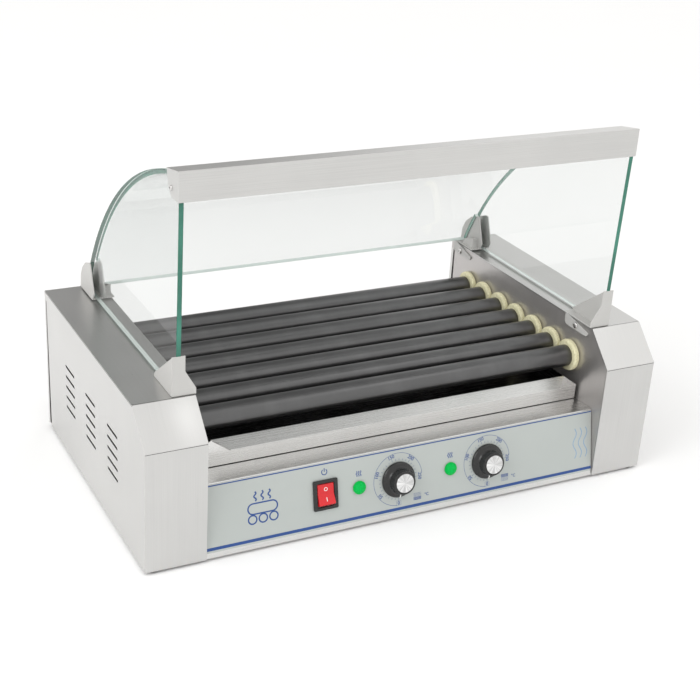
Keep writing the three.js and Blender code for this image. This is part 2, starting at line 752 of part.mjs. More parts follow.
// ---- brackets that hold the glass ----------------------------------------------------------

const CLIP_SEAT = HOUSING_TOP + GAP;
const CLIP_TOP = 206;

// A lip that hangs over the inner wall, with rounded lower corners.
function clipLip(y0, y1, seat) {
  const low = HOUSING_TOP - 12;
  const round = 5;
  const shape = new THREE.Shape();
  shape.moveTo(y0, seat + CLIP_SHEET);
  shape.absarc(y0 + round, low + round, round, Math.PI, Math.PI * 1.5, false);
  shape.absarc(y1 - round, low + round, round, Math.PI * 1.5, Math.PI * 2, false);
  shape.lineTo(y1, seat + CLIP_SHEET);
  return slabX(shape, CLIP_INNER_X, CLIP_INNER_X + CLIP_SHEET);
}

function frontClip() {
  const [y0, y1] = [BEVEL_BACK + 2.5, BEVEL_BACK + 51];
  const cheek = [
    [y0, CLIP_SEAT],
    [y1, CLIP_SEAT],
    [y1, CLIP_SEAT + 4],
    [y0, CLIP_TOP],
  ];
  const face = [
    [CLIP_INNER_X, CLIP_SEAT],
    [CLIP_OUTER_X, CLIP_SEAT],
    [CLIP_OUTER_X, CLIP_TOP],
    [CHEEK_X, CLIP_TOP],
    [CHEEK_X, CLIP_TOP - 16],
    [CLIP_INNER_X, CLIP_SEAT + 6],
  ];
  return joinAndCut([
    block(CLIP_INNER_X, CLIP_OUTER_X, y0, y1, CLIP_SEAT, CLIP_SEAT + CLIP_SHEET),
    slabY(face, y0, y0 + CLIP_SHEET),
    slabX(cheek, CLIP_OUTER_X - CLIP_SHEET, CLIP_OUTER_X),
    slabX(cheek, CHEEK_X, CHEEK_X + CLIP_SHEET),
    clipLip(y0 + 3, y1 - 3, CLIP_SEAT),
  ]);
}

// It stands clear of the housing and is slotted for the side pane. A low upstand in front of
// the curved pane stiffens it.
function rearClip() {
  const [y0, y1] = [BACK - 47, BACK - 4];
  const seat = CLIP_SEAT + REAR_CLIP_LIFT;
  const cheek = [
    [y0, seat],
    [y1, seat],
    [y1 - 2, CLIP_TOP - 24],
    [y1 - 8, CLIP_TOP - 14],
    [y1 - 19, CLIP_TOP - 5],
    [y1 - 33, CLIP_TOP],
    [y1 - 37, CLIP_TOP - 1],
    [y0 - 5, seat + 8],
  ];
  const back = [
    [CHEEK_X, seat],
    [CLIP_OUTER_X, seat],
    [CLIP_OUTER_X, CLIP_TOP - 26],
    [CHEEK_X, CLIP_TOP - 26],
  ];
  const [front, rear] = [y0 + 3, y0 + 26];
  const upstandSide = [
    [front, seat],
    [rear, seat],
    [rear - 4, seat + 8],
    [front, seat + 14.5],
  ];
  const upstandFace = [
    [UPSTAND_X, seat],
    [CHEEK_X + CLIP_SHEET, seat],
    [CHEEK_X + CLIP_SHEET, seat + 11.5],
    [UPSTAND_X, seat + 14.5],
  ];
  const pieces = [
    block(CLIP_INNER_X, CLIP_OUTER_X, y0, y1, seat, seat + CLIP_SHEET),
    slabX(cheek, CLIP_OUTER_X - CLIP_SHEET, CLIP_OUTER_X),
    slabX(cheek, CHEEK_X, CHEEK_X + CLIP_SHEET),
    slabY(back, y1 - 2 - CLIP_SHEET, y1 - 2),
    slabX(upstandSide, UPSTAND_X, UPSTAND_X + CLIP_SHEET),
    slabY(upstandFace, front, front + CLIP_SHEET),
    clipLip(y0, y1 - 3, seat),
  ];
  const reach = GLASS / 2 + GAP;
  const slotBack = BACK - 9;
  const slot = block(PANE_X - reach, PANE_X + reach, y0 - 5, slotBack, CLIP_SEAT, seat + 3);
  return joinAndCut(pieces, [slot]);
}

addPair('side_glass', sidePane(), clearGlass);
addPiece('rear_glass', rearGlass(), clearGlass);
addPiece('top_rail', topRail(), brushedSteel);
addPair('front_clip', frontClip(), clipMetal);
addPair('rear_clip', rearClip(), clipMetal);

// ---- feet ----------------------------------------------------------------------------------

for (const [end, side] of [['left', -1], ['right', 1]]) {
  for (const [place, along] of [['front', -1], ['rear', 1]]) {
    const foot = new THREE.CylinderGeometry(FOOT_RADIUS, FOOT_RADIUS - 1, FOOT_HEIGHT - GAP, 16);
    foot.rotateX(Math.PI / 2);
    foot.translate(
      side * (HALF_WIDTH - FOOT_INSET),
      along * (BACK - FOOT_INSET),
      (FOOT_HEIGHT - GAP) / 2,
    );
    addPiece(`${end}_${place}_foot`, foot, rubber);
  }
}

// The origin is the middle of the whole object's footprint, on the surface it stands on.
const extent = new THREE.Box3().setFromObject(machine, true);
machine.position.y = -(extent.min.y + extent.max.y) / 2;

const group = new THREE.Group();
group.add(machine);
export default group;
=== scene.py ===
"""The looks of a hot dog roller grill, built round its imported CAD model.

Metres, +Z up, +X along the rollers, the operator stands at -Y.
"""

import json
import math

import bmesh
import bpy
from mathutils import Matrix, Quaternion, Vector


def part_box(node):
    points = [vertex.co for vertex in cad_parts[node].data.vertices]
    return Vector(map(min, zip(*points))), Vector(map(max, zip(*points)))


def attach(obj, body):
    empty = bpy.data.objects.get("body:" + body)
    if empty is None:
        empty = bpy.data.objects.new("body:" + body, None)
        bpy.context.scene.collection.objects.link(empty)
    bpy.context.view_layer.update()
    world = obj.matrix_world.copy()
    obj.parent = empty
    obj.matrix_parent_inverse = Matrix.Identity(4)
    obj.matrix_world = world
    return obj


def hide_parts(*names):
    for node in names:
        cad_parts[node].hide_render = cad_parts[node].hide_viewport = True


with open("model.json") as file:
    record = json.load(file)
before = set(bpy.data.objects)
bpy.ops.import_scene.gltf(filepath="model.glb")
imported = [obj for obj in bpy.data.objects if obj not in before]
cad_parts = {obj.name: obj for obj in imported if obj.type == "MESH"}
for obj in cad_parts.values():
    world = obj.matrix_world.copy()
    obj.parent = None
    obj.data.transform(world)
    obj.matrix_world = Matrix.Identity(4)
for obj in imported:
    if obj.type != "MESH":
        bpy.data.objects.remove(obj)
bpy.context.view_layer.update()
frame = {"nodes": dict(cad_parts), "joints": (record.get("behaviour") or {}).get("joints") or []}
MM = 0.001

# ---- places taken from the frame ---------------------------------------------------------
JOINTS = {joint["name"]: joint for joint in frame["joints"]}
COVER_LOW, COVER_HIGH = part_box("left_housing_cover")
FRONT = COVER_LOW.y
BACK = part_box("rear_panel")[1].y
MIDDLE_Y = (FRONT + BACK) / 2
HOUSING_TOP = COVER_HIGH.z
HOUSING_LOW = COVER_LOW.z
HALF_WIDTH = -COVER_LOW.x
WALL_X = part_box("right_inner_wall")[0].x
ROLLER_COUNT = len([node for node in frame["nodes"] if node.startswith("roller_")])
ENDS = {"left": -1, "right": 1}

# ---- named sizes -------------------------------------------------------------------------
BEVEL = 34 * MM  # sloping front corner of a housing
SEAM = 0.5 * MM  # width of a painted shade line along a folded joint
EDGE = 0.35 * MM  # rounding on sheet edges
PROUD = 0.04 * MM  # how far a seam line stands out of its plate
GAP = 0.3 * MM  # clearance between pieces that touch
JOURNAL_RADIUS = 7 * MM  # of a roller's ends
SPIGOT_RADIUS = 10 * MM  # of the part of a bush that passes through the wall
GLASS = 5 * MM
REAR_GLASS_FOOT = 171 * MM
GUARD_RADIUS = 369.5 * MM
GUARD_CENTRE = Vector((0, MIDDLE_Y - 183.5 * MM, 17 * MM))


# ---- materials ---------------------------------------------------------------------------
class Finish:
    """A procedural material while it is being put together."""

    def __init__(self, name, **sockets):
        self.material = bpy.data.materials.new(name)
        self.material.use_nodes = True
        self.tree = self.material.node_tree
        self.shader = self.tree.nodes["Principled BSDF"]
        for socket, value in sockets.items():
            self.set(socket.replace("_", " "), value)

    def set(self, socket, value):
        self.put(self.shader.inputs[socket], value)

    def put(self, socket, value):
        if isinstance(value, bpy.types.NodeSocket):
            self.tree.links.new(value, socket)
        else:
            socket.default_value = value

    def add(self, kind, inputs=None, **settings):
        node = self.tree.nodes.new(kind)
        for key, value in settings.items():
            setattr(node, key, value)
        for key, value in (inputs or {}).items():
            self.put(node.inputs[key], value)
        return node

    def place(self, scale=(1, 1, 1)):
        """The piece's own coordinates, scaled along each axis."""
        where = self.add("ShaderNodeTexCoord")
        mapping = self.add("ShaderNodeMapping", {"Vector": where.outputs["Object"]})
        mapping.inputs["Scale"].default_value = scale
        return mapping.outputs["Vector"]

    def noise(self, scale=(1, 1, 1), detail=3.0, roughness=0.6):
        inputs = {"Vector": self.place(scale), "Scale": 1.0}
        inputs.update({"Detail": detail, "Roughness": roughness})
        return self.add("ShaderNodeTexNoise", inputs).outputs["Fac"]

    def scalar(self, source, low, high, from_low=0.3, from_high=0.7):
        """A number that runs from low to high as the source does from from_low to from_high."""
        inputs = {"Value": source, "From Min": from_low, "From Max": from_high}
        inputs.update({"To Min": low, "To Max": high})
        return self.add("ShaderNodeMapRange", inputs).outputs["Result"]

    def math(self, operation, a, b=0.0):
        return self.add("ShaderNodeMath", {0: a, 1: b}, operation=operation).outputs[0]

    def mix(self, factor, first, second, blend="MIX"):
        """Two colours mixed. A colour is three numbers or a socket."""
        node = self.add("ShaderNodeMix", data_type="RGBA", blend_type=blend)
        self.put(node.inputs[0], factor)
        for slot, color in ((6, first), (7, second)):
            is_socket = isinstance(color, bpy.types.NodeSocket)
            self.put(node.inputs[slot], color if is_socket else (*color, 1))
        return node.outputs[2]

    def bump(self, height, strength, distance):
        inputs = {"Height": height, "Strength": strength, "Distance": distance}
        self.set("Normal", self.add("ShaderNodeBump", inputs).outputs["Normal"])


def tint(color, factor):
    return tuple(min(1.0, part * factor) for part in color)


FINE = 1400.0  # grain lines per metre across the brushing
LONG = 7.0  # and along it


def brushed(name, color, roughness=0.3, across="x", contrast=0.1, blotch=0.03, metallic=1.0,
            end_face_painted_light=1.0):
    """Brushed stainless sheet. The grain lines lie across the named axis, and turn on end faces. End
    faces can be painted paler, as painted light.
    """
    finish = Finish(name, Metallic=metallic)
    spread = {"x": (FINE, LONG, LONG), "y": (LONG, FINE, LONG), "z": (LONG, LONG, FINE)}
    turned = {"x": (LONG, FINE, LONG), "y": (FINE, LONG, LONG), "z": (LONG, FINE, LONG)}
    main = finish.noise(spread[across], detail=5.0, roughness=0.75)
    end = finish.noise(turned[across], detail=5.0, roughness=0.75)
    normal = finish.add("ShaderNodeNewGeometry").outputs["Normal"]
    parts = finish.add("ShaderNodeSeparateXYZ", {"Vector": normal}).outputs
    facing = finish.math("ABSOLUTE", parts["XYZ".index(across.upper())])
    is_end = finish.math("GREATER_THAN", facing, 0.8)
    grain_mix = finish.add("ShaderNodeMix", {0: is_end, 2: main, 3: end}, data_type="FLOAT")
    grain = grain_mix.outputs[0]
    cloud = finish.noise((9, 9, 9), detail=2.0)
    streaked = finish.mix(
        finish.scalar(grain, 0, 1, 0.25, 0.75),
        tint(color, 1 - contrast),
        tint(color, 1 + contrast),
    )
    shade = finish.scalar(cloud, 1 - blotch, 1 + blotch)
    # Painted light: end faces, such as the side plates, are made paler by a set gain.
    shade = finish.math("MULTIPLY", shade, finish.scalar(is_end, 1.0, end_face_painted_light, 0, 1))
    tone = finish.add("ShaderNodeCombineColor", {0: shade, 1: shade, 2: shade}).outputs[0]
    finish.set("Base Color", finish.mix(1.0, streaked, tone, "MULTIPLY"))
    finish.set("Roughness", finish.scalar(grain, roughness - 0.07, roughness + 0.09))
    finish.bump(grain, 0.08, 0.05 * MM)
    return finish


def moulded(name, color, roughness, speckle=0.06, grain=900.0, **sockets):
    """Moulded plastic or rubber, with a fine uneven skin."""
    finish = Finish(name, **sockets)
    fine = finish.noise((grain, grain, grain), detail=2.0)
    broad = finish.noise((40, 40, 40), detail=3.0)
    finish.set("Base Color", finish.mix(broad, tint(color, 1 - speckle), tint(color, 1 + speckle)))
    finish.set("Roughness", finish.scalar(broad, roughness - 0.05, roughness + 0.05))
    finish.bump(fine, 0.08, 0.03 * MM)
    return finish


def tray_steel():
    """Brushed steel, with painted shade darkening the inside of the pan under the rollers."""
    finish = brushed("tray_steel", (0.73, 0.725, 0.715), 0.25, across="z", contrast=0.04)
    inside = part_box("drip_tray")[0].y + 15.8 * MM
    where = finish.add("ShaderNodeTexCoord").outputs["Object"]
    depth = finish.add("ShaderNodeSeparateXYZ", {"Vector": where}).outputs["Y"]
    painted_shade_mottle = finish.scalar(finish.noise((30, 30, 30), detail=5.0), 0.82, 0.97)
    low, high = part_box("drip_tray")
    middle = {0: where, 1: (low + high) / 2}
    offset = finish.add("ShaderNodeVectorMath", middle, operation="SUBTRACT").outputs[0]
    normal = finish.add("ShaderNodeNewGeometry").outputs["Normal"]
    turned = finish.add("ShaderNodeVectorMath", {0: offset, 1: normal}, operation="DOT_PRODUCT")
    faces_in = finish.math("LESS_THAN", turned.outputs["Value"], 0.0)
    # Painted shade: the pan's inward faces behind the front plate are darkened nearly to black,
    # mottled by noise.
    painted_shade_mask = finish.math("MULTIPLY", finish.math("GREATER_THAN", depth, inside), painted_shade_mottle)
    painted_shade_mask = finish.math("MULTIPLY", painted_shade_mask, faces_in)
    steel = finish.shader.inputs["Base Color"].links[0].from_socket
    finish.set("Base Color", finish.mix(painted_shade_mask, steel, (0.012, 0.012, 0.013)))
    return finish


def non_stick():
    """Satin black coating with a fine pebbled skin and faint rubbed bands round the roller."""
    finish = Finish("roller_coating", Metallic=0.92)
    pebble = finish.noise((1500, 1500, 1500), detail=2.0)
    bands = finish.noise((60, 2, 2), detail=4.0)
    cloud = finish.noise((14, 30, 30), detail=4.0)
    worn = finish.math("MULTIPLY", finish.scalar(cloud, 0.0, 1.0, 0.45, 0.75), 0.5)
    finish.set("Base Color", finish.mix(worn, (0.120, 0.120, 0.121), (0.165, 0.165, 0.166)))
    finish.set("Roughness", finish.scalar(bands, 0.28, 0.36))
    finish.bump(pebble, 0.25, 0.05 * MM)
    return finish


def bush_cream():
    """Pressed fibre, cream to olive, with fine strands and scorched flecks."""
    finish = Finish("bush_plastic")
    strands = finish.noise((380, 700, 700), detail=6.0, roughness=0.75)
    flecks = finish.noise((260, 260, 260), detail=3.0)
    pale = finish.mix(
        finish.scalar(strands, 0, 1, 0.35, 0.65), (0.62, 0.58, 0.34), (0.92, 0.88, 0.63))
    dark = finish.scalar(flecks, 0.0, 0.45, 0.58, 0.75)
    finish.set("Base Color", finish.mix(dark, pale, (0.36, 0.33, 0.18)))
    finish.set("Roughness", finish.scalar(strands, 0.55, 0.75))
    finish.bump(strands, 0.5, 0.15 * MM)
    return finish


def clear_glass():
    """Clear pane: a mirror at grazing angles over a faintly tinted window."""
    finish = Finish("guard_glass")
    tree = finish.tree
    tree.nodes.remove(finish.shader)
    smear = finish.noise((6, 6, 6), detail=4.0)
    clear = finish.mix(finish.scalar(smear, 0, 1), (0.940, 0.948, 0.945), (0.950, 0.957, 0.955))
    window = finish.add("ShaderNodeBsdfTransparent", {"Color": clear})
    mirror = finish.add("ShaderNodeBsdfGlossy", {"Roughness": 0.02})
    fresnel = finish.add("ShaderNodeFresnel", {"IOR": 1.45}).outputs[0]
    inside = finish.add("ShaderNodeNewGeometry").outputs["Backfacing"]
    share = finish.math("MULTIPLY", fresnel, finish.math("SUBTRACT", 1.0, inside))
    joined = finish.add("ShaderNodeMixShader", {0: share})
    finish.put(joined.inputs[1], window.outputs[0])
    finish.put(joined.inputs[2], mirror.outputs[0])
    finish.put(tree.nodes["Material Output"].inputs["Surface"], joined.outputs[0])
    return finish


def glass_edge():
    """The ground edge of a pane, where the glass shows its green. Its downward faces are painted
    pale, a painted highlight.
    """
    finish = Finish("glass_edge", Transmission_Weight=0.15, IOR=1.5)
    length = finish.noise((4, 16, 16), detail=2.0)
    ground = finish.noise((800, 800, 800), detail=2.0)
    green = finish.mix(finish.scalar(length, 0, 1), (0.012, 0.10, 0.065), (0.035, 0.22, 0.15))
    face = finish.add("ShaderNodeNewGeometry").outputs
    up = finish.add("ShaderNodeSeparateXYZ", {"Vector": face["True Normal"]}).outputs["Z"]
    flip = finish.math("SUBTRACT", 1.0, finish.math("MULTIPLY", face["Backfacing"], 2.0))
    up = finish.math("MULTIPLY", up, flip)
    # Painted highlight: faces pointing down are given a pale colour instead of green.
    lower_face_painted_light = finish.scalar(up, 1, 0, -0.6, -0.3)
    finish.set("Base Color", finish.mix(lower_face_painted_light, green, (0.66, 0.74, 0.71)))
    finish.set("Roughness", finish.scalar(ground, 0.12, 0.28))
    return finish


def spun_cap():
    """Turned aluminium, with rings round the knob's axis, and light and dark sectors that are a
    painted reflection.
    """
    finish = Finish("spun_aluminium", Metallic=1.0, Anisotropic=0.75)
    rings = finish.add("ShaderNodeTexWave", {"Vector": finish.place(), "Scale": 420.0},
                       wave_type="RINGS", rings_direction="Z", wave_profile="SAW")
    for socket, value in (("Distortion", 0.6), ("Detail", 3.0)):
        rings.inputs[socket].default_value = value
    ring = rings.outputs["Fac"]
    finish.set("Roughness", finish.scalar(ring, 0.2, 0.34, 0, 1))
    tangent = finish.add("ShaderNodeTangent", direction_type="RADIAL", axis="Z")
    finish.set("Tangent", tangent.outputs[0])
    # Painted reflection: light and dark sectors round the axis stand in for the streaks spun metal
    # reflects.
    around = finish.add("ShaderNodeVectorMath", {0: finish.place((1, 1, 0))}, operation="NORMALIZE")
    painted_reflection_sectors = finish.add("ShaderNodeTexNoise", {"Vector": around.outputs[0], "Scale": 2.2})
    shade = finish.scalar(painted_reflection_sectors.outputs["Fac"], 0.5, 0.86, 0.4, 0.6)
    tone = finish.add("ShaderNodeCombineColor", {0: shade, 1: shade, 2: shade}).outputs[0]
    bright = finish.scalar(ring, 0, 0.25, 0, 1)
    finish.set("Base Color", finish.mix(bright, tone, (0.92, 0.92, 0.92)))
    return finish


def green_lens():
    """Lit green lens with small moulded facets."""
    finish = Finish("lens_green", Roughness=0.35, Emission_Strength=0.2, Specular_IOR_Level=0.12)
    facets = finish.add("ShaderNodeTexVoronoi", {"Vector": finish.place(), "Scale": 700.0})
    distance = facets.outputs["Distance"]
    toward_rim = finish.scalar(distance, 0, 1, 0, 0.8)
    color = finish.mix(toward_rim, (0.001, 0.46, 0.080), (0.0, 0.34, 0.05))
    finish.set("Base Color", color)
    finish.set("Emission Color", color)
    finish.bump(distance, 0.3, 0.2 * MM)
    return finish


STEEL = (0.605, 0.602, 0.592)
LOOKS = {
    # The housing's side plates are painted 7% paler than its fronts: painted light.
    "housing_steel": brushed("housing_steel", STEEL, 0.34, across="x", contrast=0.06, end_face_painted_light=1.07),
    "panel_steel": brushed("panel_steel", tint(STEEL, 1.1), 0.27, across="z", contrast=0.04),
    "wall_steel": brushed("wall_steel", (0.545, 0.525, 0.515), 0.36, across="y", contrast=0.05,
                          metallic=0.85),
    "tray_steel": tray_steel(),
    "rail_steel": brushed("rail_steel", (0.60, 0.597, 0.585), 0.34, across="z", contrast=0.1),
    "clip_steel": brushed("clip_steel", (0.52, 0.515, 0.50), 0.5, across="z", contrast=0.03,
                          metallic=0.05),
    "roller_coating": non_stick(),
    "bush_plastic": bush_cream(),
    "guard_glass": clear_glass(),
    "glass_edge": glass_edge(),
    "drive_steel": brushed("drive_steel", (0.42, 0.42, 0.43), 0.4, across="y"),
    "motor_paint": moulded("motor_paint", (0.06, 0.065, 0.07), 0.55),
    "black_plastic": moulded("black_plastic", (0.012, 0.012, 0.012), 0.26),
    "rocker_red": moulded("rocker_red", (0.62, 0.012, 0.018), 0.2),
    "lens_green": green_lens(),
    "foot_rubber": moulded("foot_rubber", (0.012, 0.012, 0.012), 0.8),
    "label_film": moulded("label_film", (0.43, 0.46, 0.445), 0.38, speckle=0.02, grain=300.0),
    "navy_ink": moulded("navy_ink", (0.014, 0.060, 0.235), 0.4, speckle=0.12),
    "pale_ink": moulded("pale_ink", (0.20, 0.33, 0.50), 0.4, speckle=0.08),
    "white_ink": moulded("white_ink", (0.85, 0.85, 0.83), 0.45, speckle=0.04),
    "spun_aluminium": spun_cap(),
    "screw_steel": brushed("screw_steel", (0.62, 0.61, 0.6), 0.24, across="z", contrast=0.12),
    # A near-black finish used as painted shade in the housing's seams.
    "painted_gap_shade": moulded("painted_gap_shade", (0.018, 0.018, 0.017), 0.7),
}


# ---- mesh helpers ------------------------------------------------------------------------
def piece(name, bm, body, look, place=None, smooth=35, looks=()):
    """Turns a bmesh into a finished piece that rides on a body."""
    bmesh.ops.recalc_face_normals(bm, faces=bm.faces)
    mesh = bpy.data.meshes.new(name)
    bm.to_mesh(mesh)
    bm.free()
    for key in (look, *looks):
        mesh.materials.append(LOOKS[key].material)
    mesh.polygons.foreach_set("use_smooth", [True] * len(mesh.polygons))
    mesh.set_sharp_from_angle(angle=math.radians(smooth))
    made = bpy.data.objects.new(name, mesh)
    bpy.context.scene.collection.objects.link(made)
    if place is not None:
        made.matrix_world = place
    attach(made, body)
    return made


def soften(points, radius, steps=4, closed=True):
    """Rounds the corners of an outline with short curves."""
    points = [Vector(point) for point in points]
    count = len(points)
    rounded = []
    for i, corner in enumerate(points):
        if not closed and i in (0, count - 1):
            rounded.append(corner)
            continue
        before, after = points[i - 1] - corner, points[(i + 1) % count] - corner
        reach = min(radius, before.length * 0.49, after.length * 0.49)
        start = corner + before.normalized() * reach
        end = corner + after.normalized() * reach
        for step in range(steps + 1):
            t = step / steps
            rounded.append(start * (1 - t) ** 2 + corner * 2 * t * (1 - t) + end * t ** 2)
    return rounded


def circle(radius, count=48, centre=(0, 0), start=0.0, turn=2 * math.pi):
    steps = count if abs(turn) >= 2 * math.pi - 1e-6 else count + 1
    return [
        Vector((centre[0] + radius * math.cos(start + turn * k / count),
                centre[1] + radius * math.sin(start + turn * k / count)))
        for k in range(steps)
    ]


def rectangle(width, height, radius=0.0, steps=4):
    x, y = width / 2, height / 2
    corners = [(-x, -y), (x, -y), (x, y), (-x, y)]
    return soften(corners, radius, steps) if radius else [Vector(corner) for corner in corners]


def add_lathe(bm, profile, segments=64):
    """A turned solid about Z. The profile is (radius, height) points: a loop, or axis to axis."""
    rings = []
    for radius, height in profile:
        if radius < 1e-7:
            rings.append([bm.verts.new((0, 0, height))])
            continue
        rings.append([
            bm.verts.new((radius * math.cos(angle), radius * math.sin(angle), height))
            for angle in (2 * math.pi * k / segments for k in range(segments))
        ])
    looped = len(rings[0]) > 1
    for low, high in zip(rings, rings[1:] + (rings[:1] if looped else [])):
        for k in range(segments):
            after = (k + 1) % segments
            corners = [low[k % len(low)], low[after % len(low)],
                       high[after % len(high)], high[k % len(high)]]
            if len(low) == 1:
                corners = [low[0], high[after], high[k]]
            if len(high) == 1:
                corners = [low[k], low[after], high[0]]
            bm.faces.new(corners)


def add_prism(bm, outline, low, high, place=None):
    """A flat outline given a thickness along Z, then put in place."""
    place = place or Matrix.Identity(4)
    levels = [
        [bm.verts.new(place @ Vector((point[0], point[1], z))) for point in outline]
        for z in (low, high)
    ]
    bm.faces.new(list(reversed(levels[0])))
    bm.faces.new(levels[1])
    for i in range(len(outline)):
        j = (i + 1) % len(outline)
        bm.faces.new([levels[0][i], levels[0][j], levels[1][j], levels[1][i]])


def add_ribbon(bm, points, width, low, high, closed=False, place=None):
    """A line of one width, drawn through points, as a thin solid strip."""
    place = place or Matrix.Identity(4)
    points = [Vector(point) for point in points]
    count = len(points)
    rows = []
    for i, point in enumerate(points):
        before = points[i - 1] if closed or i else point
        after = points[(i + 1) % count] if closed or i < count - 1 else point
        along = (after - before).normalized()
        side = Vector((-along.y, along.x)) * (width / 2)
        corners = [(point - side, low), (point + side, low),
                   (point + side, high), (point - side, high)]
        rows.append([bm.verts.new(place @ Vector((p.x, p.y, z))) for p, z in corners])
    for first, second in zip(rows, rows[1:] + (rows[:1] if closed else [])):
        for k in range(4):
            bm.faces.new([first[k], first[(k + 1) % 4], second[(k + 1) % 4], second[k]])
    if not closed:
        bm.faces.new(list(reversed(rows[0])))
        bm.faces.new(rows[-1])


def add_text(bm, words, height, low, high, place):
    """Numerals or a unit as thin solid letters, centred on the place."""
    curve = bpy.data.curves.new("numerals", "FONT")
    curve.body = words
    curve.size = height
    curve.align_x = "CENTER"
    curve.align_y = "CENTER"
    curve.resolution_u = 3
    curve.extrude = (high - low) / 2
    curve.offset = 0.02 * height
    holder = bpy.data.objects.new("numerals", curve)
    bpy.context.scene.collection.objects.link(holder)
    bpy.context.view_layer.update()
    graph = bpy.context.evaluated_depsgraph_get()
    mesh = bpy.data.meshes.new_from_object(holder.evaluated_get(graph))
    mesh.transform(place @ Matrix.Translation((0, 0, (low + high) / 2)))
    bm.from_mesh(mesh)
    bpy.data.objects.remove(holder)
    bpy.data.curves.remove(curve)
    bpy.data.meshes.remove(mesh)


def round_edges(made, width, segments=2, angle=30):
    bevel = made.modifiers.new("rounded_edges", "BEVEL")
    bevel.width = width
    bevel.segments = segments
    bevel.limit_method = "ANGLE"
    bevel.angle_limit = math.radians(angle)
    return made


def dress(look, *names, edge=EDGE):
    """Gives CAD nodes their finish, and rounds the edges of folded sheet."""
    for name in names:
        node = frame["nodes"][name]
        for holder in node.material_slots:
            holder.material = LOOKS[look].material
        if not edge:
            continue
        weld = node.modifiers.new("weld", "WELD")
        weld.merge_threshold = 0.01 * MM
        flatten = node.modifiers.new("flat_faces", "DECIMATE")
        flatten.decimate_type = "DISSOLVE"
        flatten.angle_limit = math.radians(0.5)
        round_edges(node, edge)


def both(name):
    return [f"{end}_{name}" for end in ENDS]


TURN_TO_X = Matrix.Rotation(math.radians(90), 4, "Y")  # local Z along the rollers


# ---- camera, lights and floor ------------------------------------------------------------
CAMERA_PLACE = Vector((-0.6475, -1.1985, 0.7429))
CAMERA_AZIMUTH = math.radians(-27.56)
CAMERA_ELEVATION = math.radians(24.89)
CAMERA_ROLL = math.radians(3.25)
CAMERA_LENS = 70.43  # millimetres, on a sensor 36 wide
CAMERA_SHIFT = (0.0286, 0.0100)
ROOM_LIGHT = 1.15
STRIP_LIGHT = 0.4  # the darker part of the room, behind the machine


def add_camera():
    data = bpy.data.cameras.new("camera")
    data.sensor_width = 36
    data.lens = CAMERA_LENS
    data.shift_x, data.shift_y = CAMERA_SHIFT
    camera = bpy.data.objects.new("camera", data)
    bpy.context.scene.collection.objects.link(camera)
    level = math.cos(CAMERA_ELEVATION)
    back = Vector((math.sin(CAMERA_AZIMUTH) * level, -math.cos(CAMERA_AZIMUTH) * level,
                   math.sin(CAMERA_ELEVATION)))
    camera.location = CAMERA_PLACE
    camera.rotation_mode = "QUATERNION"
    aim = (-back).to_track_quat("-Z", "Y")
    camera.rotation_quaternion = aim @ Quaternion((0, 0, 1), CAMERA_ROLL)
    bpy.context.scene.camera = camera


def add_softbox(name, place, aim, size, power):
    data = bpy.data.lights.new(name, "AREA")
    data.shape = "RECTANGLE"
    data.size, data.size_y = size
    data.energy = power
    light = bpy.data.objects.new(name, data)
    light.location = place
    light.rotation_mode = "QUATERNION"
    light.rotation_quaternion = (Vector(aim) - Vector(place)).to_track_quat("-Z", "Y")
    bpy.context.scene.collection.objects.link(light)


def add_studio():
    """A pale room with a darker strip of ceiling behind the machine."""
    world = bpy.data.worlds.new("studio")
    bpy.context.scene.world = world
    world.use_nodes = True
    tree = world.node_tree

    def add(kind, values, **settings):
        node = tree.nodes.new(kind)
        for key, value in settings.items():
            setattr(node, key, value)
        for socket, value in values.items():
            if isinstance(value, bpy.types.NodeSocket):
                tree.links.new(value, node.inputs[socket])
            else:
                node.inputs[socket].default_value = value
        return node.outputs[0]

    def step(value, start, stop):
        limits = {"Value": value, "From Min": start, "From Max": stop}
        return add("ShaderNodeMapRange", limits, interpolation_type="SMOOTHSTEP")

    where = tree.nodes.new("ShaderNodeTexCoord").outputs["Generated"]
    parts = tree.nodes.new("ShaderNodeSeparateXYZ")
    tree.links.new(where, parts.inputs[0])
    behind = step(parts.outputs["Y"], -0.05, 0.25)
    aside = add("ShaderNodeMath", {0: parts.outputs["X"], 1: 0.12}, operation="SUBTRACT")
    aside = add("ShaderNodeMath", {0: aside}, operation="ABSOLUTE")
    over = step(aside, 0.42, 0.24)
    strip = add("ShaderNodeMath", {0: behind, 1: over}, operation="MULTIPLY")
    level = {"Value": strip, "To Min": ROOM_LIGHT, "To Max": STRIP_LIGHT}
    level = add("ShaderNodeMapRange", level)
    tree.links.new(level, tree.nodes["Background"].inputs["Strength"])
    tree.nodes["Background"].inputs["Color"].default_value = (1.0, 0.995, 0.985, 1)
    add_softbox("key", (1.1, -1.15, 2.1), (0, 0, 0.1), (0.9, 0.6), 1.6)
    add_softbox("side", (-1.9, -0.7, 1.5), (0, 0, 0.1), (1.2, 1.2), 14)
    bpy.context.scene.view_settings.view_transform = "Standard"


def add_floor():
    finish = Finish("floor", Roughness=0.9, Specular_IOR_Level=0.1)
    broad = finish.noise((3, 3, 3), detail=3.0)
    finish.set("Base Color", finish.mix(broad, (0.965, 0.965, 0.965), (0.98, 0.98, 0.98)))
    mesh = bpy.data.meshes.new("floor")
    reach = 6.0
    corners = [(-reach, -reach, 0), (reach, -reach, 0), (reach, reach, 0), (-reach, reach, 0)]
    mesh.from_pydata(corners, [], [(0, 1, 2, 3)])
    mesh.materials.append(finish.material)
    floor = bpy.data.objects.new("floor", mesh)
    floor.location.z = -0.2 * MM
    bpy.context.scene.collection.objects.link(floor)


add_camera()
add_studio()
add_floor()


